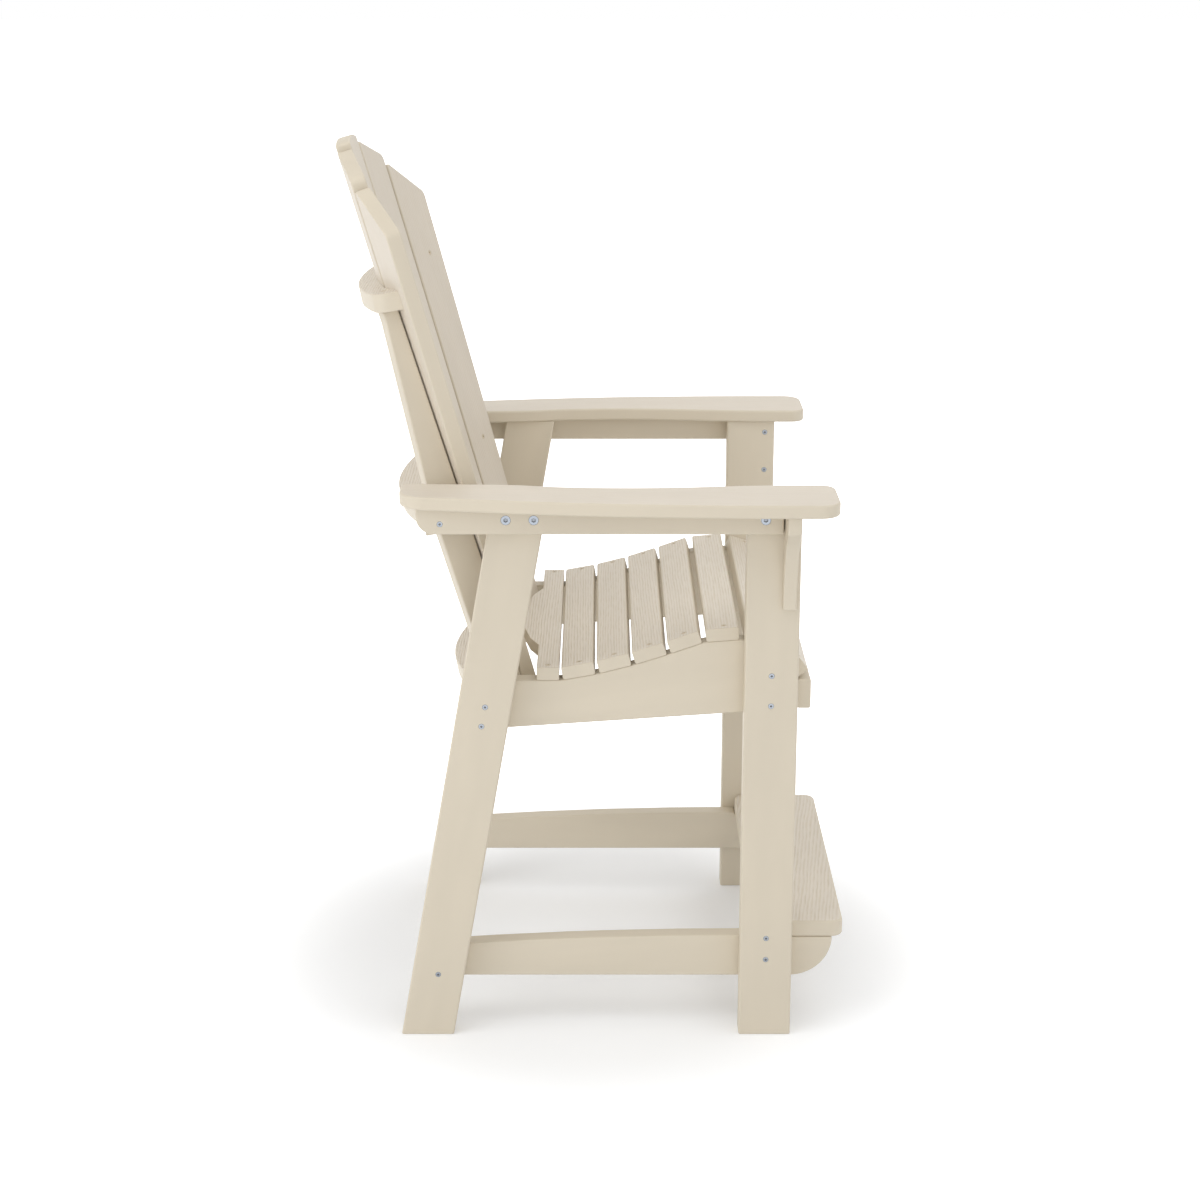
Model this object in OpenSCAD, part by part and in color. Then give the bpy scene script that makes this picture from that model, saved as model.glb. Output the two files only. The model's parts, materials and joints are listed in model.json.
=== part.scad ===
// Counter height slatted armchair with a curved fan back, a dished seat and a footrest.
// Millimetres. +Z is up, the sitter looks along -Y, and +X is the sitter's left.
// The chair stands on Z = 0, and its box is centred on X = 0 and Y = 0.
// Inside the modules Y = 0 is the front of the front legs, and centred() moves the whole.

/* [Boards] */
// Width of the leg boards
leg_w = 76; // [70:1:84]
// Thickness of the leg boards
leg_t = 32; // [26:1:38]
// Thickness of the seat rails and the stretchers
rail_t = 26; // [22:1:30]
// Thickness of the seat slats
slat_t = 19; // [15:0.5:23]
// Thickness of the curved back braces and the uprights
brace_t = 27; // [22:1:30]
// Radius of the long edges of the straight boards
edge_r = 3; // [1:0.5:5]

/* [Stance] */
// Width over the outer faces of the legs
leg_span = 560; // [540:5:620]
// Depth on the floor from the front of the front legs to the back of the rear legs
foot_depth = 574; // [560:2:590]
// Lean of the rear legs, top towards the front
leg_lean = 10; // [9:0.5:11]
// Height of the underside of the arms
arm_h = 810; // [806:1:830]

/* [Arms] */
// Thickness of the arms
arm_t = 19; // [15:0.5:25]
// Length of the arms
arm_l = 606; // [590:2:630]
// How far the arms reach in front of the front legs
arm_reach = 47; // [35:1:55]
// Width of an arm at its front paddle
arm_front_w = 116; // [110:1:125]
// Width of an arm at its waist
arm_waist_w = 92; // [86:1:100]
// Width of an arm at its rear end
arm_rear_w = 79; // [74:1:86]
// How far an arm's inner edge overhangs the leg's inner face at the front
arm_lap = 7; // [0:1:14]
// Thickness of the rails on the outer faces of the legs
arm_rail_t = 20; // [16:1:24]
// Height of those rails
arm_rail_h = 37; // [34:1:44]
// Thickness of the brackets under the arms
bracket_t = 19; // [15:0.5:22]
// Height of the brackets
bracket_h = 151; // [130:1:180]
// How far the brackets stand out from the legs at the top
bracket_out = 67; // [60:1:72]

/* [Seat] */
// Height of the flat top of the seat rails at the rear
seat_h = 542.5; // [530:2.5:550]
// Width of a seat slat
seat_slat_w = 47; // [45:0.5:49]
// Gap between seat slats on the rails
seat_gap = 6; // [4:0.5:8]
// Depth of the seat rails just in front of the rearmost slat
seat_rail_d = 67; // [64:1:75]
// Rise of the seat rails' bottom edge towards the front, in degrees
seat_rail_rise = 4; // [3:0.5:4.5]
// Height of the apron across the front
apron_h = 44; // [38:1:46]
// Thickness of the apron
apron_t = 19; // [15:0.5:23]

/* [Footrest] */
// Height of the underside of the footrest
footrest_h = 142; // [120:2:180]
// Thickness of the footrest
footrest_t = 25.4; // [19:0.2:32]
// Depth of the footrest, front to back
footrest_d = 133; // [125:1:145]
// How far the footrest reaches in front of the front legs
footrest_reach = 78; // [72:1:84]
// Radius of the footrest's corners
footrest_r = 16; // [6:1:20]
// Depth of the stretchers, and the radius of their round noses
stretcher_d = 62; // [56:1:66]

/* [Back] */
// Thickness of the back slats
back_slat_t = 22; // [19:0.5:24]
// Lean of the back
back_lean = 16.2; // [15.2:0.2:17.2]
// Height of the highest point of the back
back_h = 1290; // [1270:5:1320]
// How far the back slats reach below the top of the seat rails
back_foot_drop = 55.5; // [52.5:0.5:59.5]
// Distance from the front of the front legs to the back slats' faces at seat height
back_y = 422.4; // [420.4:0.4:426.4]
// Width of a back slat at its top
back_top_w = 91; // [89:0.5:93]
// Width of a back slat at its foot
back_foot_w = 69; // [67:0.5:71]
// Gap between neighbouring back slats
back_gap = 5; // [3:0.5:7]
// Turn of each back slat from the next, about the axis of the curve
fan_turn = 11.3; // [10.7:0.1:11.9]
// Tilt of the braces, rear edge down
brace_tilt = 10.3; // [9.5:0.1:11]
// How far the upper brace's rear edge lies below the top of the back
upper_drop = 208; // [190:2:230]
// Width of the upper brace at its middle
upper_w = 31.5; // [29.5:0.5:38]
// How far the middle brace's rear edge lies below the underside of the arms
middle_drop = 28; // [26:0.5:32]
// Width of the middle brace at its middle
middle_w = 67; // [64:1:72]
// How far the lower brace's rear edge lies below the top of the seat rails
lower_drop = 30.5; // [27.5:0.5:33.5]
// Width of the lower brace at its middle
lower_w = 67; // [64:1:72]
// Depth of an upright over its parallel lower part
upright_d = 46.5; // [42:0.5:50]
// Depth of an upright at its top
upright_top_d = 23; // [20:1:28]

/* [Fasteners] */
// Diameter of the arm rail bolts' heads
bolt_head_d = 13.5; // [12:0.5:16]
// Diameter of the bolts
bolt_d = 8; // [6:0.5:8]
// Diameter of the screw heads
screw_head_d = 8; // [7:0.5:9]
// Diameter of the screws
screw_d = 4.8; // [4:0.2:5]

/* [Hidden] */
$fn = 32;
poly = "#dccfb8";
poly_dark = "#d2c4aa";
steel = "#b4b6b8";
// Room between parts that touch, round a fastener, and round an upright in its notch
face_gap = 0.1;
hole_gap = 0.2;
notch_gap = 0.5;

inner = leg_span / 2 - leg_t;
outer = leg_span / 2;
leg_flat = leg_w / cos(leg_lean);
leg_top = arm_h - face_gap;
rail_in = inner - face_gap - rail_t;
rail_mid = rail_in + rail_t / 2;
board_end = inner - face_gap;
rail_inset = 6;

back_foot_h = seat_h - back_foot_drop;
upper_h = back_h - upper_drop;
middle_h = arm_h - middle_drop;
lower_h = seat_h - lower_drop;

arm_rail_in = outer + face_gap;
arm_rail_out = arm_rail_in + arm_rail_t;
arm_rail_y = [27, arm_l - arm_reach - 24];
arm_rail_r = 25;
bracket_y = 6;
bracket_lip = 20;
bracket_toe = 10;

arm_in = inner - arm_lap;
arm_y = [-arm_reach, arm_l - arm_reach];
waist_in = arm_in + 15.5;
rear_in = arm_in - 7;
paddle_r = [20, 28];
arm_rear_r = 42;

// Tilts of the seat slats from the rear one to the front one, nose up being positive
slat_tilts = [0, 10.5, 14.5, 18, 19.5, 4.5, -18, -52];
front_slat = len(slat_tilts) - 1;
rail_front_y = -2;
rear_slat_d = 32;
rear_slat_step = 143;

stretcher_rise = 3;
stretcher_crest_y = 70;
stretcher_arc = 6300;

// The back is a fan of flat slats on a cone, and its tip lies far below the chair
fan_top = (back_h - back_foot_h) / cos(back_lean);
top_pitch = back_top_w + back_gap;
foot_pitch = back_foot_w + back_gap;
fan_tip = fan_top * foot_pitch / (top_pitch - foot_pitch);
fan_spread = top_pitch / 2 / (fan_top + fan_tip);
fan_cone = asin(fan_spread / tan(fan_turn / 2));
wing = 2;
back_foot_y = back_y - (seat_h - back_foot_h) * tan(back_lean);
slat_back = back_slat_t / cos(back_lean);
crown_r = 175;
top_corner = [5, 14];
// Fall of each slat's inner top corner below the highest point, and the slope of its top
top_fall = [0, 13, 57];
top_slope = [0, 20.5, 34.5];

upper_r = 510;
upper_corner = 28;
middle_r = 540;
middle_tab = [56, 110];
lower_r = 380;
lower_tab = [37, 104];
// The uprights splay outwards from the upper brace, and have their full depth up to the bend
upright_x = -15;
upright_splay = 4.4;
upright_gap = 2;
upright_bend_h = middle_h + 2;
// Places of the back slats' screws at each brace, from the middle slat outwards, and how
// far they lie below the brace's top
slat_screw_x = [[0, 0, 5], [0, 8, 3], [0, 0, 0]];
slat_screw_drop = [13.5, 6, 13.5];

head_h = 3;
bolt_head_h = 4;
leg_screw_l = leg_t + 20;
footrest_screw_l = leg_t + 40;
bracket_screw_l = leg_t + 16;
bolt_l = arm_rail_t + 25;
tab_screw_l = 60;
leg_tab_screw_l = leg_t + rail_t + 30;
arm_screw_l = arm_rail_h + arm_t - 6;
seat_screw_l = slat_t + 25;
apron_screw_l = apron_t + 30;
back_screw_l = back_slat_t + 14;
upright_screw_l = brace_t + 33;

// Places of the fasteners, from the edges of the boards that they hold
arm_bolt_y = 24;
arm_bolt_rise = 2;
rear_bolt_shift = -4;
arm_screw_y = 24;
bracket_screw_drop = [18, 80];
rail_screw_rise = [12, -33];
rear_rail_screw_drop = 58.4;
rear_rail_screw_shift = -0.5;
stretcher_screw_rise = [10, -14];
apron_screw_inset = 12;
seat_screw_shift = -3;
// On a brace's tab: forwards from its rear edge, and up from the middle of its thickness
arm_tab_screw = [23, 5];
leg_tab_screw = [21, 4];

// Shapes and places

function arc(c, r, a0, a1, n) =
    [for (i = [0:n]) let (a = a0 + (a1 - a0) * i / n) [c[0] + r * cos(a), c[1] + r * sin(a)]];

// A smooth curve through the points p, without the first and last, which only guide it
function curve_point(p, i, t) =
    0.5 * (2 * p[i] + (p[i + 1] - p[i - 1]) * t
        + (2 * p[i - 1] - 5 * p[i] + 4 * p[i + 1] - p[i + 2]) * t * t
        + (3 * p[i] - p[i - 1] - 3 * p[i + 1] + p[i + 2]) * t * t * t);
function curve(p, n) =
    [for (i = [1:len(p) - 3]) for (j = [0:n - 1]) curve_point(p, i, j / n), p[len(p) - 2]];

// An arc over the origin that bows towards +Y, with rounded ends at X = -end and end
function bow(r, end, corner) =
    let (
        cx = end - corner,
        cy = sqrt((r - corner) * (r - corner) - cx * cx) - r,
        a = atan2(cy + r, cx)
    )
    concat(
        arc([cx, cy], corner, 0, a, 6),
        arc([0, -r], r, a, 180 - a, 24),
        arc([-cx, cy], corner, 180 - a, 180, 6)
    );

module round_rect(w, h, r) {
    translate([r, 0]) square([w - 2 * r, h]);
    translate([0, r]) square([w, h - 2 * r]);
    for (x = [r, w - r], y = [r, h - r]) translate([x, y]) circle(r);
}

// Turns an outline with Y and Z as its axes into a plate that starts at x
module side_plate(x, t) {
    translate([x, 0, 0]) rotate([90, 0, 90]) linear_extrude(t) children();
}

// A board across the chair, with its front, lower edge at the origin
module cross_board(w, t) {
    side_plate(-board_end, 2 * board_end) round_rect(w, t, edge_r);
}

module on_side(s) {
    if (s > 0) children();
    else mirror([1, 0, 0]) children();
}

module both_sides() {
    for (s = [-1, 1]) on_side(s) children();
}

module centred() {
    front_y = -max(arm_reach, footrest_reach);
    rear_y = back_face(back_h) + back_slat_t * cos(back_lean);
    translate([0, -(front_y + rear_y) / 2, 0]) children();
}

// A fastener that points down from Z = 0, with a socket in its flush head
module fastener(head_d, head_h, d, l) {
    translate([0, 0, -head_h]) difference() {
        cylinder(d = head_d, h = head_h);
        translate([0, 0, head_h / 2]) cylinder(d = head_d / 2.2, h = head_h, $fn = 6);
    }
    translate([0, 0, -l]) cylinder(d = d, h = l - head_h + face_gap);
}

module bore(head_d, head_h, d, l) {
    translate([0, 0, -head_h - hole_gap])
        cylinder(d = head_d + 2 * hole_gap, h = head_h + hole_gap + 1);
    translate([0, 0, -l - hole_gap]) cylinder(d = d + 2 * hole_gap, h = l);
}

module bolt() {
    fastener(bolt_head_d, bolt_head_h, bolt_d, bolt_l);
}

module bolt_hole() {
    bore(bolt_head_d, bolt_head_h, bolt_d, bolt_l);
}

module screw(l) {
    fastener(screw_head_d, head_h, screw_d, l);
}

module screw_hole(l) {
    bore(screw_head_d, head_h, screw_d, l);
}

// Places of the fasteners on the left side

module pointing_in(x, y, z) {
    translate([x, y, z]) rotate([0, 90, 0]) children();
}

module at_arm_rail_bolts() {
    z = arm_h - arm_rail_h / 2 + arm_bolt_rise;
    rear_y = rear_leg_mid(z) + rear_bolt_shift;
    for (y = [leg_w - arm_bolt_y, rear_y - leg_flat / 4, rear_y + leg_flat / 4])
        pointing_in(arm_rail_out, y, z) children();
}

module at_arm_rail_screw() {
    in = middle_tab[0] + arm_tab_screw[0];
    z = tab_z(middle_h, in) + arm_tab_screw[1];
    pointing_in(arm_rail_out, tab_y(middle_h, middle_w, in), z) children();
}

module at_arm_screws() {
    y = rear_leg_mid(arm_h) + leg_flat;
    front_y = leg_w + arm_screw_y;
    for (y = [front_y, (front_y + y) / 2, y])
        translate([arm_rail_in + arm_rail_t / 2, y, arm_h - arm_rail_h]) rotate([180, 0, 0])
            children();
}

module at_bracket_screws() {
    for (drop = bracket_screw_drop)
        translate([inner, bracket_y + bracket_t / 2, arm_h - drop]) rotate([0, -90, 0]) children();
}

module at_seat_rail_screws() {
    for (rise = rail_screw_rise) pointing_in(outer, leg_w / 2, dish_nose[1] + rise) children();
    z = seat_h - rear_rail_screw_drop;
    pointing_in(outer, rear_leg_mid(z) + rear_rail_screw_shift, z) children();
}

// The long screw that goes through the rear leg and the seat rail into the lower brace
module at_leg_tab_screw() {
    in = lower_tab[0] + leg_tab_screw[0];
    z = tab_z(lower_h, in) + leg_tab_screw[1];
    pointing_in(outer, tab_y(lower_h, lower_w, in), z) children();
}

module at_footrest_screw() {
    pointing_in(outer, leg_w / 2, footrest_h + footrest_t / 2) children();
}

module at_stretcher_screws() {
    z = footrest_h - stretcher_d / 2;
    rear_z = z + stretcher_screw_rise[1];
    pointing_in(outer, leg_w / 2, z + stretcher_screw_rise[0]) children();
    pointing_in(outer, rear_leg_mid(rear_z), rear_z) children();
}

module at_seat_slat_screw(k) {
    y = k == 0 ? rear_slat_d / 2 : seat_slat_w / 2 + seat_screw_shift;
    slat_place(k) translate([rail_mid, y, slat_t]) children();
}

module at_apron_screws() {
    for (z = [apron_screw_inset, apron_h - apron_screw_inset])
        translate([rail_mid, rail_front_y - face_gap - apron_t, apron_z + z])
            rotate([90, 0, 0]) children();
}

module at_back_slat_screws(i) {
    braces = [[upper_h, upper_w], [middle_h, middle_w], [lower_h, lower_w]];
    for (k = [0:2]) {
        h = braces[k][0];
        x = sign(i) * slat_screw_x[k][abs(i)];
        rise = (braces[k][1] + slat_fore(abs(i), pitch_at(h))) * sin(brace_tilt)
            + back_slat_t * sin(back_lean) - slat_screw_drop[k];
        slat_frame(i) translate([x, 0, fan_z(h + rise)]) rotate([90, 0, 0]) children();
    }
}

module at_upright_screws() {
    brace_frame(upper_h, upper_w)
        translate(upright_spot(upper_h, upper_w, upright_top_d, 0)) children();
    brace_frame(lower_h, lower_w)
        translate(upright_spot(lower_h, lower_w, upright_d, -brace_t)) rotate([180, 0, 0])
        children();
}

// Legs, arms and their rails

function rear_leg_back(z) = foot_depth - z * tan(leg_lean);
function rear_leg_mid(z) = rear_leg_back(z) - leg_flat / 2;

module leg_front() {
    color(poly) difference() {
        translate([inner, 0, 0]) linear_extrude(leg_top) round_rect(leg_t, leg_w, edge_r);
        at_bracket_screws() screw_hole(bracket_screw_l);
        at_seat_rail_screws() screw_hole(leg_screw_l);
        at_footrest_screw() screw_hole(footrest_screw_l);
        at_stretcher_screws() screw_hole(leg_screw_l);
        at_arm_rail_bolts() bolt_hole();
    }
}

module leg_rear() {
    spare = 60;
    color(poly) difference() {
        intersection() {
            translate([inner, foot_depth, 0]) rotate([leg_lean, 0, 0])
                translate([0, -leg_w, -spare])
                linear_extrude(arm_h + 2 * spare) round_rect(leg_t, leg_w, edge_r);
            cube([leg_span, foot_depth + spare, leg_top]);
        }
        at_seat_rail_screws() screw_hole(leg_screw_l);
        at_leg_tab_screw() screw_hole(leg_tab_screw_l);
        at_stretcher_screws() screw_hole(leg_screw_l);
        at_arm_rail_bolts() bolt_hole();
    }
}

// Plan of an arm: a round-cornered paddle, a waist, and a narrower rear end
function arm_plan() =
    let (
        front_out = arm_in + arm_front_w,
        waist_out = waist_in + arm_waist_w,
        rear_out = rear_in + arm_rear_w,
        waist_y = arm_y[0] + 0.49 * arm_l,
        rear_y = arm_y[1] - arm_rear_r
    )
    concat(
        arc([arm_in + paddle_r[0], arm_y[0] + paddle_r[0]], paddle_r[0], 180, 270, 6),
        arc([front_out - paddle_r[1], arm_y[0] + paddle_r[1]], paddle_r[1], 270, 360, 8),
        curve([
            [front_out, arm_y[0] - 40], [front_out, arm_y[0] + 80],
            [front_out - 2, arm_y[0] + 170], [waist_out, waist_y],
            [waist_out - 12.5, waist_y + 115], [rear_out, rear_y], [rear_out - 8, rear_y + 50]
        ], 5),
        arc([rear_out - arm_rear_r, rear_y], arm_rear_r, 10, 86, 8),
        [[rear_in, arm_y[1]]],
        curve([
            [rear_in - 1, arm_y[1] + 60], [rear_in, arm_y[1] - 30],
            [rear_in + 5, arm_y[1] - 152], [waist_in - 5.5, waist_y + 88],
            [waist_in, waist_y], [waist_in - 3.5, waist_y - 84], [arm_in + 2.5, arm_y[0] + 122],
            [arm_in, arm_y[0] + 70], [arm_in, arm_y[0]]
        ], 5)
    );

module arm() {
    color(poly) difference() {
        translate([0, 0, arm_h]) linear_extrude(arm_t) polygon(arm_plan());
        at_arm_screws() screw_hole(arm_screw_l);
    }
}

module arm_rail() {
    y = arm_rail_y;
    r = arm_rail_r;
    low = leg_top - arm_rail_h;
    color(poly) difference() {
        side_plate(arm_rail_in, arm_rail_t) polygon(concat(
            [[y[0], leg_top], [y[0], low]],
            arc([y[1] - r, low + r], r, 270, 360, 12),
            [[y[1], leg_top]]
        ));
        at_arm_rail_bolts() bolt_hole();
        at_arm_rail_screw() screw_hole(tab_screw_l);
        at_arm_screws() screw_hole(arm_screw_l);
    }
}

// Front outline of a bracket, hollow towards its toe, from the leg's face outwards
function bracket_outline() =
    let (w = bracket_out, h = bracket_h, r = 4)
    concat(
        [[0, 0], [0, -h]],
        arc([bracket_toe - r, r - h], r, 270, 360, 4),
        curve([
            [bracket_toe - 2, -h - 10], [bracket_toe + 1, 20 - h],
            [bracket_toe + 10, -0.6 * h], [w * 0.56, -0.35 * h],
            [w - 5, -bracket_lip - 9], [w, -bracket_lip], [w + 2, 0]
        ], 6),
        [[w, 0]]
    );

module arm_bracket() {
    color(poly) difference() {
        translate([arm_rail_in, bracket_y + bracket_t, leg_top]) rotate([90, 0, 0])
            linear_extrude(bracket_t) polygon(bracket_outline());
        at_bracket_screws() screw_hole(bracket_screw_l);
    }
}

// Seat

function ahead(a) = [-cos(a), sin(a)];
function slat_nose(k) = k == 0 ? [0, 0] : slat_tail(k) + seat_slat_w * ahead(slat_tilts[k]);
function slat_tail(k) =
    slat_nose(k - 1) + seat_gap * ahead((slat_tilts[k - 1] + slat_tilts[k]) / 2);
dish_tail = [rail_front_y - slat_nose(front_slat)[0], seat_h];
dish_nose = dish_tail + slat_nose(front_slat);
function dish() =
    [for (k = [front_slat:-1:1]) each [dish_tail + slat_nose(k), dish_tail + slat_tail(k)]];
function rail_bottom(y) = seat_h - seat_rail_d + (dish_tail[0] - y) * tan(seat_rail_rise);
apron_z = rail_bottom(rail_front_y) + 1;

module seat_rail() {
    top_y = rear_leg_back(seat_h) - rail_inset;
    low_y = top_y + (seat_h - rail_bottom(top_y)) * tan(leg_lean);
    color(poly) difference() {
        side_plate(rail_in, rail_t) polygon(concat(
            [[rail_front_y, rail_bottom(rail_front_y)]],
            dish(),
            [dish_tail, [top_y, seat_h], [low_y, rail_bottom(low_y)]]
        ));
        at_seat_rail_screws() screw_hole(leg_screw_l);
        at_leg_tab_screw() screw_hole(leg_tab_screw_l);
        at_apron_screws() screw_hole(apron_screw_l);
        for (k = [0:front_slat]) at_seat_slat_screw(k) screw_hole(seat_screw_l);
    }
}

module seat_apron() {
    color(poly) centred() difference() {
        translate([0, rail_front_y - face_gap - apron_t, apron_z]) cross_board(apron_t, apron_h);
        both_sides() at_apron_screws() screw_hole(apron_screw_l);
    }
}

// Lays a slat on the rails: its front lower edge is the X axis, and it runs back along +Y
module slat_place(k) {
    p = dish_tail + slat_nose(k);
    translate([0, p[0], p[1]]) rotate([-slat_tilts[k], 0, 0]) children();
}

// The rearmost slat follows the fan of the back at a steady gap
function rear_slat_plan() =
    let (
        x1 = pitch_at(seat_h) / 2,
        x2 = x1 + pitch_at(seat_h) * cos(fan_turn),
        y2 = rear_slat_d + (rear_slat_step - x2) * tan(2 * fan_turn),
        y1 = y2 + (x2 - x1) * tan(fan_turn)
    )
    [[board_end, 0], [board_end, rear_slat_d], [rear_slat_step, rear_slat_d], [x2, y2], [x1, y1],
     [-x1, y1], [-x2, y2], [-rear_slat_step, rear_slat_d], [-board_end, rear_slat_d],
     [-board_end, 0]];

module seat_slat(k) {
    color(k % 2 == 0 ? poly : poly_dark) centred() difference() {
        slat_place(k) translate([0, 0, face_gap]) {
            if (k == 0) linear_extrude(slat_t) polygon(rear_slat_plan());
            else cross_board(seat_slat_w, slat_t);
        }
        both_sides() at_seat_slat_screw(k) screw_hole(seat_screw_l);
    }
}

// Footrest

// A stretcher has a round nose under the footrest and a long low crown behind it
module stretcher() {
    low = footrest_h - stretcher_d;
    high = footrest_h + stretcher_d;
    plank_back = footrest_d - footrest_reach;
    color(poly) difference() {
        side_plate(rail_in, rail_t) difference() {
            intersection() {
                union() {
                    translate([0, low]) square([foot_depth, high - low]);
                    intersection() {
                        translate([0, footrest_h]) circle(stretcher_d, $fn = 96);
                        translate([-stretcher_d, low]) square(stretcher_d);
                    }
                }
                translate([stretcher_crest_y, footrest_h + stretcher_rise - stretcher_arc])
                    circle(stretcher_arc, $fn = 720);
                polygon([
                    [-foot_depth, 0], [-foot_depth, high],
                    [rear_leg_back(high) - rail_inset, high], [rear_leg_back(0) - rail_inset, 0]
                ]);
            }
            translate([-foot_depth, footrest_h])
                square([foot_depth + plank_back + notch_gap, stretcher_d]);
        }
        at_stretcher_screws() screw_hole(leg_screw_l);
    }
}

module footrest() {
    color(poly) centred() difference() {
        translate([-board_end, -footrest_reach, footrest_h + face_gap])
            linear_extrude(footrest_t) round_rect(2 * board_end, footrest_d, footrest_r);
        both_sides() at_footrest_screw() screw_hole(footrest_screw_l);
    }
}

// Back

function back_face(z) = back_y + (z - seat_h) * tan(back_lean);
function fan_z(z) = (z - back_foot_h) / cos(back_lean);
function half_pitch(s) = fan_spread * (s + fan_tip);
function pitch_at(z) = 2 * half_pitch(fan_z(z));
function half_slat(s) = half_pitch(s) - back_gap / 2;

// How far the middle of slat n lies in front of the middle slat
function slat_fore(n, p) =
    n == 0 ? 0 : slat_fore(n - 1, p) + p / 2 * (sin((n - 1) * fan_turn) + sin(n * fan_turn));

// The frame of slat i, from -2 to 2: its face is Y = 0, and its middle line is Z
module slat_frame(i) {
    translate([0, back_foot_y, back_foot_h]) rotate([-back_lean, 0, 0])
        translate([0, 0, -fan_tip])
        rotate(a = -fan_turn * i, v = [0, -sin(fan_cone), cos(fan_cone)])
        translate([0, 0, fan_tip]) children();
}

// Face of a slat at place n from the middle, with its outer side towards +X
function slat_face(n) =
    let (
        a = top_slope[n],
        ri = top_corner[0],
        ro = top_corner[1],
        inner_z = fan_top - top_fall[n] / cos(back_lean),
        inner_x = half_slat(inner_z),
        outer_z = inner_z - 2 * inner_x * tan(a),
        outer_x = half_slat(outer_z)
    )
    concat(
        [[-half_slat(0), 0], [half_slat(0), 0]],
        arc([outer_x - ro, outer_z - ro * tan(45 - a / 2)], ro, 0, 90 - a, 6),
        arc([ri - inner_x, inner_z - ri * tan(45 + a / 2)], ri, 90 - a, 180, 5)
    );

function crown_face() =
    concat(
        [[-half_slat(0), 0], [half_slat(0), 0]],
        [for (p = bow(crown_r, half_slat(fan_top), top_corner[0])) p + [0, fan_top]]
    );

module back_slat(i) {
    color(i % 2 == 0 ? poly : poly_dark) centred() difference() {
        slat_frame(i) on_side(i < 0 ? -1 : 1) translate([0, back_slat_t, 0]) rotate([90, 0, 0])
            linear_extrude(back_slat_t) polygon(i == 0 ? crown_face() : slat_face(abs(i)));
        at_back_slat_screws(i) screw_hole(back_screw_l);
    }
}

// The frame of a brace: its top is Z = 0, and the middle of its rear edge is the origin
module brace_frame(h, w) {
    translate([0, back_face(h) + slat_back + w, h]) rotate([-brace_tilt, 0, 0]) children();
}

function tab_y(h, w, d) =
    back_face(h) + slat_back + w - d * cos(brace_tilt) - brace_t / 2 * sin(brace_tilt);
function tab_z(h, d) = h + d * sin(brace_tilt) - brace_t / 2 * cos(brace_tilt);

// Middle of an upright's end in the brace frame
function upright_spot(h, w, depth, z) =
    let (
        p = pitch_at(h),
        x = upright_x + (fan_z(upper_h) - fan_z(h)) * tan(upright_splay),
        back = back_slat_t + upright_gap + depth / 2,
        a = wing * fan_turn
    )
    [p * (0.5 + cos(fan_turn) + cos(a) / 2) + x * cos(a) + back * sin(a),
     back * cos(a) - x * sin(a) - p * (sin(fan_turn) + sin(a) / 2) - slat_back - w, z];

// All that lies in front of the slats' backs, near the height h
module seat_of_slats(h) {
    lap = (back_slat_t + face_gap) * tan(fan_turn / 2) + notch_gap;
    for (i = [-wing:wing]) {
        x0 = -pitch_at(h) / 2 - (i == -wing ? 0 : lap);
        x1 = pitch_at(h) / 2 + (i == wing ? 0 : lap);
        slat_frame(i) translate([x0, -foot_depth, fan_z(h) - 2 * brace_t])
            cube([x1 - x0, foot_depth + back_slat_t + face_gap, 5 * brace_t]);
    }
}

// Plan of a brace with square tabs, whose arc runs into the tabs' rear edges
function tabbed_plan(r, end, tab) =
    let (a = asin((r - tab[0]) / r))
    concat(
        [[end, -tab[1]], [end, -tab[0]]],
        arc([0, -r], r, a, 180 - a, 24),
        [[-end, -tab[0]], [-end, -tab[1]]]
    );

module brace(h, w) {
    difference() {
        brace_frame(h, w) translate([0, 0, -brace_t]) linear_extrude(brace_t) children();
        seat_of_slats(h);
        for (i = [-wing:wing]) at_back_slat_screws(i) screw_hole(back_screw_l);
    }
}

module back_brace_upper() {
    p = pitch_at(upper_h);
    end = p * (0.5 + cos(fan_turn) + cos(wing * fan_turn)) - 15;
    low = 3 - upper_w - p * (sin(fan_turn) + sin(wing * fan_turn));
    color(poly) centred() difference() {
        brace(upper_h, upper_w)
            polygon(concat([[end, low]], bow(upper_r, end, upper_corner), [[-end, low]]));
        both_sides() at_upright_screws() screw_hole(upright_screw_l);
    }
}

module back_brace_middle() {
    color(poly) centred() difference() {
        brace(middle_h, middle_w) polygon(tabbed_plan(middle_r, outer, middle_tab));
        both_sides() {
            upright_blank(notch_gap);
            at_arm_rail_screw() screw_hole(tab_screw_l);
        }
    }
}

module back_brace_lower() {
    color(poly) centred() difference() {
        brace(lower_h, lower_w)
            polygon(tabbed_plan(lower_r, rail_in - face_gap, lower_tab));
        both_sides() {
            at_leg_tab_screw() screw_hole(leg_tab_screw_l);
            at_upright_screws() screw_hole(upright_screw_l);
        }
    }
}

// An upright stands behind the outer slat, square to it, and narrows towards its top
module upright_blank(room) {
    front = back_slat_t + upright_gap - room;
    low = -2 * brace_t;
    pivot = fan_z(upper_h);
    high = pivot + brace_t;
    bend = [back_slat_t + upright_gap + upright_d + room, fan_z(upright_bend_h)];
    top = [back_slat_t + upright_gap + upright_top_d + room, pivot - brace_t];
    slat_frame(wing) translate([upright_x, 0, pivot]) rotate([0, -upright_splay, 0])
        translate([0, 0, -pivot]) side_plate(-brace_t / 2 - room, brace_t + 2 * room)
        polygon([[front, low], [bend[0], low], bend, top, [top[0], high], [front, high]]);
}

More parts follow.
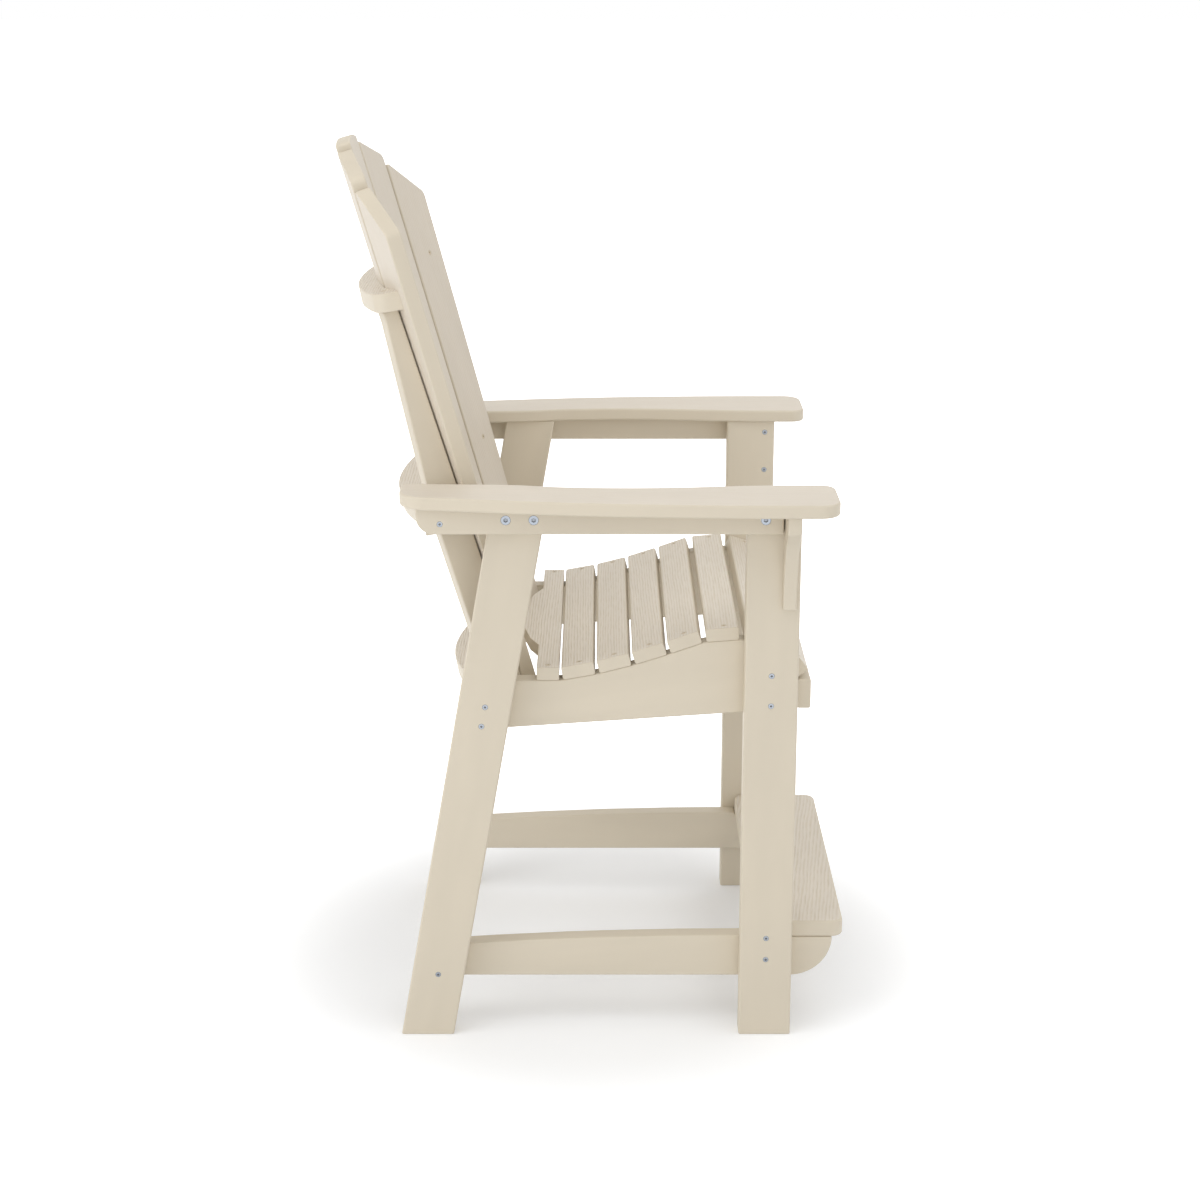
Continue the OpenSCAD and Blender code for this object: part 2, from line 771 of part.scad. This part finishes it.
module back_upright() {
    far = 2 * leg_span;
    color(poly_dark) difference() {
        upright_blank(0);
        brace_frame(upper_h, upper_w) translate([-far, -far, -brace_t - face_gap])
            cube([2 * far, 2 * far, 4 * brace_t]);
        brace_frame(lower_h, lower_w) translate([-far, -far, face_gap - 4 * brace_t])
            cube([2 * far, 2 * far, 4 * brace_t]);
        at_upright_screws() screw_hole(upright_screw_l);
        at_back_slat_screws(wing) screw_hole(back_screw_l);
    }
}

// Fasteners

module fittings() {
    color(steel) centred() both_sides() children();
}

module arm_rail_bolts() {
    fittings() at_arm_rail_bolts() bolt();
}

module arm_rail_screws() {
    fittings() at_arm_rail_screw() screw(tab_screw_l);
}

module arm_screws() {
    fittings() at_arm_screws() screw(arm_screw_l);
}

module bracket_screws() {
    fittings() at_bracket_screws() screw(bracket_screw_l);
}

module seat_rail_screws() {
    fittings() {
        at_seat_rail_screws() screw(leg_screw_l);
        at_leg_tab_screw() screw(leg_tab_screw_l);
    }
}

module seat_slat_screws() {
    fittings() for (k = [0:front_slat]) at_seat_slat_screw(k) screw(seat_screw_l);
}

module apron_screws() {
    fittings() at_apron_screws() screw(apron_screw_l);
}

module footrest_screws() {
    fittings() at_footrest_screw() screw(footrest_screw_l);
}

module stretcher_screws() {
    fittings() at_stretcher_screws() screw(leg_screw_l);
}

module back_slat_screws() {
    color(steel) centred()
        for (i = [-wing:wing]) at_back_slat_screws(i) screw(back_screw_l);
}

module upright_screws() {
    fittings() at_upright_screws() screw(upright_screw_l);
}

centred() leg_front();  // leg_front_left
centred() on_side(-1) leg_front();  // leg_front_right
centred() leg_rear();  // leg_rear_left
centred() on_side(-1) leg_rear();  // leg_rear_right
centred() arm();  // arm_left
centred() on_side(-1) arm();  // arm_right
centred() arm_rail();  // arm_rail_left
centred() on_side(-1) arm_rail();  // arm_rail_right
centred() arm_bracket();  // arm_bracket_left
centred() on_side(-1) arm_bracket();  // arm_bracket_right
centred() seat_rail();  // seat_rail_left
centred() on_side(-1) seat_rail();  // seat_rail_right
seat_apron();
seat_slat(0);  // seat_slat_1
seat_slat(1);  // seat_slat_2
seat_slat(2);  // seat_slat_3
seat_slat(3);  // seat_slat_4
seat_slat(4);  // seat_slat_5
seat_slat(5);  // seat_slat_6
seat_slat(6);  // seat_slat_7
seat_slat(7);  // seat_slat_8
centred() stretcher();  // stretcher_left
centred() on_side(-1) stretcher();  // stretcher_right
footrest();
centred() back_upright();  // back_upright_left
centred() on_side(-1) back_upright();  // back_upright_right
back_brace_upper();
back_brace_middle();
back_brace_lower();
back_slat(-2);  // back_slat_1
back_slat(-1);  // back_slat_2
back_slat(0);  // back_slat_3
back_slat(1);  // back_slat_4
back_slat(2);  // back_slat_5
arm_rail_bolts();
arm_rail_screws();
arm_screws();
bracket_screws();
seat_rail_screws();
seat_slat_screws();
apron_screws();
footrest_screws();
stretcher_screws();
back_slat_screws();
upright_screws();
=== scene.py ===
# Counter height slatted chair in sand coloured poly lumber with stainless fasteners.
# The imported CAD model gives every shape. Here its boards get softened edges, embossed grain
# and a satin skin, its fasteners get steel, and the floor, the light and the camera are set.
import json
import math

import bmesh
import bpy
from mathutils import Matrix, Vector
from mathutils.bvhtree import BVHTree

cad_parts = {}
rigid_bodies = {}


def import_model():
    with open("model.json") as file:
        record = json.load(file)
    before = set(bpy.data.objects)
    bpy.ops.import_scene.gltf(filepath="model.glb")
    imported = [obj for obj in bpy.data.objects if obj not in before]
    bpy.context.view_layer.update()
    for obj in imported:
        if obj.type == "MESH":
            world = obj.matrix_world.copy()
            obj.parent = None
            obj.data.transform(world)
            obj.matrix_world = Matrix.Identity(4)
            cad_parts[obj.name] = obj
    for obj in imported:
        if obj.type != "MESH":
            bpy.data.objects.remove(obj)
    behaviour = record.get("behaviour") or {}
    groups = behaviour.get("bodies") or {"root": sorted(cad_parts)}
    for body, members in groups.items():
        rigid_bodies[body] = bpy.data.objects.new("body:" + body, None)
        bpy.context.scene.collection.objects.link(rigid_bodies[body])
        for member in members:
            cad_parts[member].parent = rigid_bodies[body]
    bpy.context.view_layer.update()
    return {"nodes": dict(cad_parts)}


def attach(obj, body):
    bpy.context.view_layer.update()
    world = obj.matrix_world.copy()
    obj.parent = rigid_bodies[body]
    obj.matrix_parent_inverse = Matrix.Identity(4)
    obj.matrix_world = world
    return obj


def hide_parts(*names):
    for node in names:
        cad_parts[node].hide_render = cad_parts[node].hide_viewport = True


for old in list(bpy.data.objects):      # Blender's own start-up objects
    bpy.data.objects.remove(old)
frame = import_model()
print("frame:", len(frame["nodes"]), "nodes")

mm = 0.001      # Blender works in metres


def hexToLinear(code):
    # "#rrggbb" in sRGB to the linear values that a shader takes
    values = [int(code[i:i + 2], 16) / 255 for i in (1, 3, 5)]
    linear = [v / 12.92 if v <= 0.04045 else ((v + 0.055) / 1.055) ** 2.4 for v in values]
    return (*linear, 1.0)


def addNode(tree, kind, settings=None, links=None):
    # a setting goes to the socket of its name or number, or else to the node itself
    node = tree.nodes.new(kind)
    for name, value in (settings or {}).items():
        if isinstance(name, int) or name in node.inputs:
            node.inputs[name].default_value = value
        else:
            setattr(node, name, value)
    for name, source in (links or {}).items():
        tree.links.new(source, node.inputs[name])
    return node


# A Mix node's colour sockets share their names with others, so they go by number
mixFactor, mixFirst, mixSecond, mixResult = 0, 6, 7, 2


def newMaterial(name):
    material = bpy.data.materials.new(name)
    material.use_nodes = True
    tree = material.node_tree
    tree.nodes.clear()
    output = addNode(tree, "ShaderNodeOutputMaterial")
    shader = addNode(tree, "ShaderNodeBsdfPrincipled")
    tree.links.new(shader.outputs[0], output.inputs["Surface"])
    return material, tree, shader


# HDPE lumber, extruded from sand coloured polyethylene. The skin is satin and slightly
# waxy, so highlights are broad and soft, and the colour runs through the whole board.
lumberLook = {
    "colour": "#d7cdba",
    "ribColour": "#e3dbce",       # paler where the roller has drawn the skin into ribs
    "grooveShadowColour": "#cdc0a8",      # painted shade: the plastic darkened at the bottom of a groove
    "tone": 0.05,                 # how much the shade drifts over a board
    "ior": 1.54,
    "roughness": 0.5,
    "groovePitch": 4.2,           # mm between embossed grain lines
    "grooveStart": -0.7,          # where a groove begins, from -1 for wide to 1 for a hairline
    "grooveDepth": 0.35,          # mm
    "grooveShade": 0.55,          # how far a groove is darkened by painted shade, towards the shadow colour
    "grooveWander": 2.4,          # mm that a line strays sideways
    "grooveJitter": 0.45,         # its short wobbles, as a part of the pitch
    "faintest": 0.4,              # what is left of a line where it is faintest
    "dragDepth": 0.02,            # mm, the faint lines that the extruder leaves
    "peelPitch": 1.6,             # mm, the skin's orange peel, drawn coarser than it is
    "peelDepth": 0.012,           # mm
    # noise in cells per mm along, across and through the board
    "drift": {"cells": (0.004, 0.02, 0.02), "detail": 2.0},        # 250 mm by 50 mm
    "drag": {"cells": (0.002, 1 / 2.6, 1 / 2.6), "detail": 2.0},   # 500 mm by 2.6 mm
    "wander": {"cells": (0.007, 0.035, 0.0), "detail": 1.5},       # about 140 mm by 30 mm
    "jitter": {"cells": (0.04, 0.3, 0.0), "detail": 1.0},          # 25 mm by 3 mm
    "fade": {"cells": (0.035, 0.2, 0.0), "detail": 1.0},           # about 30 mm by 5 mm
}


def grainLines(tree, look, place, noise):
    # wandering lines, pressed in by a roller while the board is warm, 1 in a groove's middle
    across = addNode(tree, "ShaderNodeSeparateXYZ", None, {"Vector": place}).outputs["Y"]
    # noise runs from 0 to 1, so a line that strays to both sides takes twice its wander
    strays = {"wander": look["grooveWander"] * 2, "jitter": look["groovePitch"] * look["grooveJitter"]}
    for part, stray in strays.items():
        across = addNode(tree, "ShaderNodeMath", {"operation": "MULTIPLY_ADD", 1: stray}, {
            0: noise[part], 2: across,
        }).outputs[0]
    phase = addNode(tree, "ShaderNodeMath", {
        "operation": "MULTIPLY", 1: 2 * math.pi / look["groovePitch"],
    }, {0: across})
    wave = addNode(tree, "ShaderNodeMath", {"operation": "SINE"}, {0: phase.outputs[0]})
    line = addNode(tree, "ShaderNodeMapRange", {
        "From Min": look["grooveStart"], "From Max": 1.0,
    }, {"Value": wave.outputs[0]})
    # lines come and go along the board
    fade = addNode(tree, "ShaderNodeMapRange", {
        "From Min": 0.35, "From Max": 0.6, "To Min": look["faintest"], "To Max": 1.0,
    }, {"Value": noise["fade"]})
    groove = addNode(tree, "ShaderNodeMath", {"operation": "MULTIPLY"}, {
        0: line.outputs[0], 1: fade.outputs[0],
    })
    return groove.outputs[0]


def lumber(name, look, embossed):
    material, tree, shader = newMaterial(name)
    board = addNode(tree, "ShaderNodeAttribute", {"attribute_name": "boardSpace"})
    place = board.outputs["Vector"]      # mm along, across and through the board
    noise = {}
    for part in ["drift", "drag"] + (["wander", "jitter", "fade"] if embossed else []):
        cells = addNode(tree, "ShaderNodeMapping", {"Scale": look[part]["cells"]}, {"Vector": place})
        noise[part] = addNode(tree, "ShaderNodeTexNoise", {
            "Scale": 1.0, "Detail": look[part]["detail"],
        }, {"Vector": cells.outputs[0]}).outputs["Fac"]

    # orange peel and the extruder's drag lines
    peel = addNode(tree, "ShaderNodeTexNoise", {
        "Scale": 1 / look["peelPitch"], "Detail": 1.0,
    }, {"Vector": place})
    bump = addNode(tree, "ShaderNodeBump", {"Distance": look["peelDepth"] * mm}, {
        "Height": peel.outputs["Fac"],
    })
    bump = addNode(tree, "ShaderNodeBump", {"Distance": look["dragDepth"] * mm}, {
        "Height": noise["drag"], "Normal": bump.outputs[0],
    })

    # slow drift of the shade, from a noise that seldom leaves 0.3 to 0.7
    shade = addNode(tree, "ShaderNodeMapRange", {
        "From Min": 0.3, "From Max": 0.7, "To Min": 1 - look["tone"] / 2, "To Max": 1 + look["tone"] / 2,
    }, {"Value": noise["drift"]})
    colour = addNode(tree, "ShaderNodeVectorMath", {
        "operation": "SCALE", 0: hexToLinear(look["ribColour" if embossed else "colour"])[:3],
    }, {"Scale": shade.outputs[0]}).outputs[0]

    if embossed:
        groove = grainLines(tree, look, place, noise)
        bump = addNode(tree, "ShaderNodeBump", {
            "Distance": look["grooveDepth"] * mm, "invert": True,
        }, {"Height": groove, "Normal": bump.outputs[0]})
        # painted shade: the colour darkens into each groove, by the groove's mask
        grooveShading = addNode(tree, "ShaderNodeMath", {
            "operation": "MULTIPLY", 1: look["grooveShade"],
        }, {0: groove})
        colour = addNode(tree, "ShaderNodeMix", {
            "data_type": "RGBA", mixSecond: hexToLinear(look["grooveShadowColour"]),
        }, {mixFactor: grooveShading.outputs[0], mixFirst: colour}).outputs[mixResult]

    tree.links.new(colour, shader.inputs["Base Color"])
    tree.links.new(bump.outputs[0], shader.inputs["Normal"])
    shader.inputs["Roughness"].default_value = look["roughness"]
    shader.inputs["IOR"].default_value = look["ior"]
    return material


smoothLumber = lumber("smoothHdpeLumber", lumberLook, False)
grainedLumber = lumber("embossedHdpeLumber", lumberLook, True)

# The footrest's wider plank comes from a coarser roller
coarseLumberLook = dict(lumberLook, groovePitch=5.6, grooveWander=3.4)
coarseLumber = lumber("coarselyEmbossedHdpeLumber", coarseLumberLook, True)

# The arms and the back are rolled more lightly, so their grain is fainter
fineLumberLook = dict(
    lumberLook, ribColour="#dad1c3", groovePitch=5.2, grooveDepth=0.2, grooveShade=0.3)
fineLumber = lumber("lightlyEmbossedHdpeLumber", fineLumberLook, True)

# Stainless steel, turned and tumbled: a cool grey with a soft sheen, and painted shade in its socket
steelLook = {
    "colour": "#969ca4",
    "socketShadeColour": "#4e4a46",      # painted shade in the socket
    "socketShadeReach": 3.0,             # mm
    "socketShadeOpen": (0.3, 0.95),      # how open a spot is where the painted shade is full and where it ends
    "roughness": (0.24, 0.38),
    "tumblePitch": 0.5,           # mm, drawn coarser than the real marks
    "tumbleDepth": 0.01,          # mm
}


def stainless(name, look):
    material, tree, shader = newMaterial(name)
    place = addNode(tree, "ShaderNodeTexCoord").outputs["Object"]
    tumble = addNode(tree, "ShaderNodeTexNoise", {
        "Scale": 1 / (look["tumblePitch"] * mm), "Detail": 2.0,
    }, {"Vector": place}).outputs["Fac"]
    bump = addNode(tree, "ShaderNodeBump", {"Distance": look["tumbleDepth"] * mm}, {"Height": tumble})
    rough = addNode(tree, "ShaderNodeMapRange", {
        "To Min": look["roughness"][0], "To Max": look["roughness"][1],
    }, {"Value": tumble})
    # painted shade darkens the socket and the foot of the head, the more the nearer surfaces close them in
    nook = addNode(tree, "ShaderNodeAmbientOcclusion", {
        "Distance": look["socketShadeReach"] * mm, "samples": 4,
    })
    unshaded = addNode(tree, "ShaderNodeMapRange", {
        "From Min": look["socketShadeOpen"][0], "From Max": look["socketShadeOpen"][1],
    }, {"Value": nook.outputs["AO"]})
    colour = addNode(tree, "ShaderNodeMix", {
        "data_type": "RGBA",
        mixFirst: hexToLinear(look["socketShadeColour"]), mixSecond: hexToLinear(look["colour"]),
    }, {mixFactor: unshaded.outputs[0]})
    tree.links.new(colour.outputs[mixResult], shader.inputs["Base Color"])
    tree.links.new(rough.outputs[0], shader.inputs["Roughness"])
    tree.links.new(bump.outputs[0], shader.inputs["Normal"])
    shader.inputs["Metallic"].default_value = 1.0
    return material


# Steel deck screws with a powder coat in the lumber's own colour, which hides them
coatLook = {
    "colour": "#d3c6af",
    "tone": (0.95, 1.03),         # how the shade varies with the peel
    "roughness": 0.45,
    "peelPitch": 0.6,             # mm, the coat's orange peel
    "peelDepth": 0.02,            # mm
}


def powderCoat(name, look):
    material, tree, shader = newMaterial(name)
    place = addNode(tree, "ShaderNodeTexCoord").outputs["Object"]
    peel = addNode(tree, "ShaderNodeTexNoise", {
        "Scale": 1 / (look["peelPitch"] * mm),
    }, {"Vector": place}).outputs["Fac"]
    bump = addNode(tree, "ShaderNodeBump", {"Distance": look["peelDepth"] * mm}, {"Height": peel})
    tone = addNode(tree, "ShaderNodeMapRange", {
        "To Min": look["tone"][0], "To Max": look["tone"][1],
    }, {"Value": peel})
    colour = addNode(tree, "ShaderNodeVectorMath", {
        "operation": "SCALE", 0: hexToLinear(look["colour"])[:3],
    }, {"Scale": tone.outputs[0]})
    tree.links.new(colour.outputs[0], shader.inputs["Base Color"])
    tree.links.new(bump.outputs[0], shader.inputs["Normal"])
    shader.inputs["Roughness"].default_value = look["roughness"]
    return material


stainlessSteel = stainless("tumbledStainlessSteel", steelLook)
coatedSteel = powderCoat("powderCoatedSteel", coatLook)
print("materials:", len(bpy.data.materials))

# How the boards and fasteners are cleaned up and softened
shaping = {
    "weld": 0.005,                # mm, points nearer than this become one
    "flatAngle": 0.5,             # degrees, faces that turn less become one
    "roundAngle": 30,             # degrees, edges that turn more are rounded
    "sharpAngle": 32,             # degrees, edges that turn more are shaded as sharp
    "coveredReach": 0.6,          # mm to a board that hides an edge
    "broadSide": 0.96,            # cosine to the board's thickness from which a face is grained
    "grainShift": (977.0, 131.0, 0.0),   # mm, so that no two boards share their grain
    "axisSteps": 200,             # more than enough for the axes to settle
    "axisStarts": ((0.83, 0.41, 0.37), (-0.31, 0.87, 0.38)),   # slanted, so square to none
}


def pointsAndFaces(mesh):
    return [v.co for v in mesh.vertices], [p.vertices[:] for p in mesh.polygons]


boardTrees = {}
for nodeName, node in frame["nodes"].items():
    if not nodeName.endswith(("screws", "bolts")):
        boardTrees[nodeName] = BVHTree.FromPolygons(*pointsAndFaces(node.data))


def boardAxes(mesh):
    # along, across and through the board, from the spread of its faces
    total = 0.0
    centre = Vector()
    parts = []
    for face in mesh.polygons:
        parts.append((face.area, face.center.copy()))
        total += face.area
        centre += face.area * face.center
    centre /= total
    spread = [[0.0] * 3 for _ in range(3)]
    for area, point in parts:
        d = point - centre
        for i in range(3):
            for j in range(3):
                spread[i][j] += area * d[i] * d[j]
    # power steps find the longest axis, then the next one square to it
    matrix = Matrix(spread) * (1 / total)
    axes = []
    for start in shaping["axisStarts"]:
        axis = Vector(start)
        for _ in range(shaping["axisSteps"]):
            axis = matrix @ axis
            for other in axes:
                axis -= axis.dot(other) * other
            axis.normalize()
        axes.append(axis)
    axes.append(axes[0].cross(axes[1]))
    return centre, axes


def isCovered(edge, nodeName):
    # whether an edge lies against another board, where nobody sees it
    middle = (edge.verts[0].co + edge.verts[1].co) / 2
    reach = shaping["coveredReach"] * mm
    return any(tree.find_nearest(middle, reach)[0] is not None
               for name, tree in boardTrees.items() if name != nodeName)


def roundEdges(bm, nodeName, look):
    # convex sharp edges, apart from the small loops round the screw holes
    least = math.radians(shaping["roundAngle"])
    sharp = {e for e in bm.edges if e.is_manifold and e.is_convex and e.calc_face_angle(0) > least}
    chosen = []
    while sharp:
        loop = [sharp.pop()]
        for edge in loop:
            for vert in edge.verts:
                for other in vert.link_edges:
                    if other in sharp:
                        sharp.remove(other)
                        loop.append(other)
        points = [v.co for e in loop for v in e.verts]
        size = Vector([max(p[i] for p in points) - min(p[i] for p in points) for i in range(3)]).length
        if size > look["smallestLoop"] * mm:
            chosen += loop
    if look.get("notched"):
        chosen = [e for e in chosen if not isCovered(e, nodeName)]
    if chosen:
        bmesh.ops.bevel(
            bm, geom=chosen, offset=look["edge"] * mm, offset_type="OFFSET", segments=look["steps"],
            profile=0.5, affect="EDGES", clamp_overlap=False, loop_slide=False)


def dress(nodeName, look, index):
    # a copy of the node with softened edges, its own board space and new materials
    points, faces = pointsAndFaces(frame["nodes"][nodeName].data)
    raw = bpy.data.meshes.new(nodeName)
    raw.from_pydata(points, [], faces)
    centre, axes = boardAxes(raw)
    bm = bmesh.new()
    bm.from_mesh(raw)
    bpy.data.meshes.remove(raw)
    weld = shaping["weld"] * mm
    bmesh.ops.remove_doubles(bm, verts=bm.verts, dist=weld)
    bmesh.ops.dissolve_limit(
        bm, angle_limit=math.radians(shaping["flatAngle"]), verts=bm.verts, edges=bm.edges)
    roundEdges(bm, nodeName, look)
    bmesh.ops.dissolve_degenerate(bm, dist=weld, edges=bm.edges)
    for face in bm.faces:
        face.smooth = True
        if "grained" in look:
            face.material_index = int(abs(face.normal.dot(axes[2])) > shaping["broadSide"])
    for edge in bm.edges:
        edge.smooth = edge.calc_face_angle(0) < math.radians(shaping["sharpAngle"])
    mesh = bpy.data.meshes.new(nodeName + "_shape")
    bm.to_mesh(mesh)
    bm.free()
    piece = bpy.data.objects.new(nodeName + "_shape", mesh)
    bpy.context.collection.objects.link(piece)
    shift = index * Vector(shaping["grainShift"])
    space = mesh.attributes.new("boardSpace", "FLOAT_VECTOR", "POINT")
    values = []
    for vert in mesh.vertices:
        d = vert.co - centre
        values += [d.dot(axes[k]) / mm + shift[k] for k in range(3)]
    space.data.foreach_set("vector", values)
    for material in look["materials"]:
        mesh.materials.append(material)
    flat = piece.modifiers.new("flatFaces", "WEIGHTED_NORMAL")
    flat.weight = 100      # the large faces stay flat, and only the rounded edges turn
    flat.keep_sharp = True
    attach(piece, "root")
    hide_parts(nodeName)


def both(*names):
    return [f"{name}_{side}" for name in names for side in ("left", "right")]


# Each edge is rounded by so many mm in so many steps. The grained material is on the broad
# sides. A notched board keeps its edges sharp where they lie against another board.
boardLooks = {
    "legs": {"nodes": both("leg_front", "leg_rear"), "edge": 1.5, "steps": 3},
    "arms": {"nodes": both("arm"), "edge": 3.2, "steps": 4, "grained": fineLumber},
    "armRails": {"nodes": both("arm_rail", "arm_bracket"), "edge": 2.0, "steps": 3},
    "seatRails": {"nodes": both("seat_rail", "stretcher"), "edge": 2.5, "steps": 3},
    "apron": {"nodes": ["seat_apron"], "edge": 1.2, "steps": 3},
    "seatSlats": {
        "nodes": [f"seat_slat_{k}" for k in range(1, 9)], "edge": 0.9, "steps": 2,
        "grained": grainedLumber,
    },
    "footrest": {"nodes": ["footrest"], "edge": 4.0, "steps": 5, "grained": coarseLumber},
    "uprights": {"nodes": both("back_upright"), "edge": 2.5, "steps": 3},
    "braces": {
        "nodes": ["back_brace_upper", "back_brace_lower"], "edge": 2.2, "steps": 3,
        "grained": grainedLumber, "notched": True,
    },
    "middleBrace": {
        "nodes": ["back_brace_middle"], "edge": 1.2, "steps": 3,
        "grained": grainedLumber, "notched": True,
    },
    "backSlats": {
        "nodes": [f"back_slat_{k}" for k in range(1, 6)], "edge": 2.6, "steps": 4,
        "grained": fineLumber,
    },
}
boardNumber = 0
for group, look in boardLooks.items():
    look.update(smallestLoop=25, slot="poly_lumber", materials=[smoothLumber])
    if "grained" in look:
        look["materials"].append(look["grained"])
    for nodeName in look["nodes"]:
        dress(nodeName, look, boardNumber)
        boardNumber += 1
    print("boards:", group, len(look["nodes"]))

fastenerLooks = {
    "bright": {
        "nodes": ["arm_rail_bolts", "arm_rail_screws", "arm_screws", "bracket_screws",
                  "seat_rail_screws", "apron_screws", "footrest_screws", "stretcher_screws"],
        "materials": [stainlessSteel],
    },
    "coated": {
        "nodes": ["seat_slat_screws", "back_slat_screws", "upright_screws"],
        "materials": [coatedSteel],
    },
}
for group, look in fastenerLooks.items():
    look.update(edge=0.45, steps=2, smallestLoop=5, slot="fasteners")
    for nodeName in look["nodes"]:
        dress(nodeName, look, 0)
    print("fasteners:", group, len(look["nodes"]))


def seenRays(tree):
    # 1 for what the camera, a reflection or clear material sees, 0 for the light that it sheds
    rays = addNode(tree, "ShaderNodeLightPath")
    seen = rays.outputs["Is Camera Ray"]
    for other in ("Is Glossy Ray", "Is Transmission Ray"):
        seen = addNode(tree, "ShaderNodeMath", {"operation": "MAXIMUM"}, {
            0: seen, 1: rays.outputs[other],
        }).outputs[0]
    return seen


# Studio floor with a matt emulsion, rolled on: no gloss, so it shows nothing but the shadow, which a painted
# glow whitens away from the chair
stageLook = {
    "floorColour": "#f4f6f9",
    "glow": "#ffffff",
    "roughness": 0.9,
    "size": 60.0,                 # m
    "floorGlow": 0.12,                 # strength of the painted glow at the chair, which shows through the shadow
    "fadeFrom": 0.34,             # m from the middle of the chair
    "fadeTo": 0.95,
}


def makeFloor(look):
    bm = bmesh.new()
    bmesh.ops.create_grid(bm, x_segments=1, y_segments=1, size=look["size"] / 2)
    mesh = bpy.data.meshes.new("floor")
    bm.to_mesh(mesh)
    bm.free()
    floor = bpy.data.objects.new("floor", mesh)
    bpy.context.collection.objects.link(floor)
    material, tree, shader = newMaterial("paintedStudioFloor")
    shader.inputs["Base Color"].default_value = hexToLinear(look["floorColour"])
    shader.inputs["Roughness"].default_value = look["roughness"]
    shader.inputs["Specular IOR Level"].default_value = 0.0
    # painted light: a glow for camera, reflection and clear rays, weak near the chair and full further out,
    # so the floor fades to white in the picture, keeps the chair's shadow near it and loses it further out
    place = addNode(tree, "ShaderNodeTexCoord").outputs["Object"]
    away = addNode(tree, "ShaderNodeVectorMath", {"operation": "LENGTH"}, {0: place})
    fade = addNode(tree, "ShaderNodeMapRange", {
        "interpolation_type": "SMOOTHSTEP", "From Min": look["fadeFrom"], "From Max": look["fadeTo"],
        "To Min": look["floorGlow"], "To Max": 1.0,
    }, {"Value": away.outputs["Value"]})
    floorGlow = addNode(tree, "ShaderNodeMath", {"operation": "MULTIPLY"}, {
        0: fade.outputs[0], 1: seenRays(tree),
    })
    shader.inputs["Emission Color"].default_value = hexToLinear(look["glow"])
    tree.links.new(floorGlow.outputs[0], shader.inputs["Emission Strength"])
    mesh.materials.append(material)


lightLook = {
    "world": 0.64,                # light from all round
    "sky": "#fefcf9",             # its colour
    "backdrop": "#ffffff",        # what the picture shows behind the chair
    "aim": (0.0, 0.0, 0.65),      # m, where the lamps point
    # round softboxes: place and width in m, power in W
    "softboxes": {
        "key": {"at": (-1.6, 2.0, 3.6), "size": 2.6, "power": 29.0},
        "front": {"at": (-0.6, -2.0, 3.8), "size": 2.6, "power": 24.0},
        "rear": {"at": (-1.4, 3.2, 1.0), "size": 2.0, "power": 18.0},
        "fill": {"at": (-3.4, -0.4, 1.6), "size": 2.6, "power": 15.0},
        "far": {"at": (2.6, -0.5, 3.0), "size": 2.6, "power": 8.0},
    },
}


def makeLight(look):
    world = bpy.data.worlds.new("studio")
    bpy.context.scene.world = world
    world.use_nodes = True
    tree = world.node_tree
    tree.nodes.clear()
    seen = seenRays(tree)
    strength = addNode(tree, "ShaderNodeMapRange", {"To Min": look["world"], "To Max": 1.0}, {"Value": seen})
    tint = addNode(tree, "ShaderNodeMix", {
        "data_type": "RGBA",
        mixFirst: hexToLinear(look["sky"]), mixSecond: hexToLinear(look["backdrop"]),
    }, {mixFactor: seen})
    background = addNode(tree, "ShaderNodeBackground", None, {
        "Color": tint.outputs[mixResult], "Strength": strength.outputs[0],
    })
    output = addNode(tree, "ShaderNodeOutputWorld")
    tree.links.new(background.outputs[0], output.inputs["Surface"])
    for name, box in look["softboxes"].items():
        light = bpy.data.lights.new(name, "AREA")
        light.shape = "DISK"
        light.size = box["size"]
        light.energy = box["power"]
        lamp = bpy.data.objects.new(name, light)
        lamp.location = box["at"]
        lamp.rotation_euler = (Vector(look["aim"]) - lamp.location).to_track_quat("-Z", "Y").to_euler()
        bpy.context.collection.objects.link(lamp)


cameraLook = {
    "at": (-3.317, -0.0106, 1.6118),     # m
    "heading": -90,               # degrees, so that it looks along +X
    "pitch": 15.67,               # degrees below the horizon
    "lens": 68.09,                # mm, on the sensor
    "sensor": 36.0,               # mm
    "shift": -0.05,               # part of the shift that keeps the photo's uprights upright
}


def makeCamera(look):
    data = bpy.data.cameras.new("camera")
    data.sensor_width = look["sensor"]
    data.lens = look["lens"]
    data.shift_y = look["shift"]
    camera = bpy.data.objects.new("camera", data)
    camera.location = look["at"]
    camera.rotation_euler = (math.radians(90 - look["pitch"]), 0.0, math.radians(look["heading"]))
    bpy.context.collection.objects.link(camera)
    bpy.context.scene.camera = camera


makeFloor(stageLook)
makeLight(lightLook)
makeCamera(cameraLook)
bpy.context.scene.view_settings.view_transform = "Standard"
print("stage, light and camera")

bpy.context.view_layer.update()
